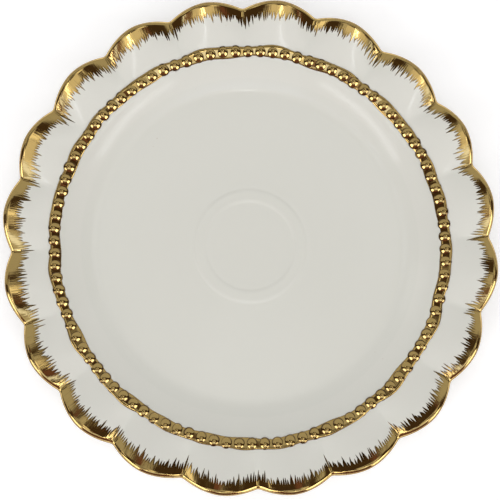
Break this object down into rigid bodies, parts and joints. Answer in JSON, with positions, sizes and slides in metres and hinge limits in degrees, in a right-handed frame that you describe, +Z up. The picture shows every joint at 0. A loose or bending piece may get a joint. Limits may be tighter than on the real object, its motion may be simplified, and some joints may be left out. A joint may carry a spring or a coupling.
{
  "type": "serving plate",
  "caption": "Round white glazed serving plate with a scalloped rim of puffed petals, a brushed gold lip and a ring of gold beading round a flat well.",
  "frame": {"origin": "middle of the foot ring's tread, on the surface that the plate stands on", "axes": "+Z up along the plate's axis, +Y towards the top of the picture and +X to its right"},
  "size_m": [0.3028, 0.3028, 0.0259],
  "materials": {
    "glaze": "clear gloss glaze over white clay",
    "bare_clay": "fired, unglazed",
    "gold": "bright gold lustre, brushed on and fired"
  },
  "bodies": {
    "root": {"plate_body": "glaze", "foot_ring": "bare_clay", "support_ring": "bare_clay", "gilt_lip": "gold", "beading_01": "gold", "beading_02": "gold", "beading_03": "gold", "beading_04": "gold", "beading_05": "gold", "beading_06": "gold", "beading_07": "gold", "beading_08": "gold", "beading_09": "gold", "beading_10": "gold", "beading_11": "gold", "beading_12": "gold", "beading_13": "gold", "beading_14": "gold", "beading_15": "gold", "beading_16": "gold", "beading_17": "gold", "beading_18": "gold", "beading_19": "gold", "beading_20": "gold"}
  },
  "joints": []
}
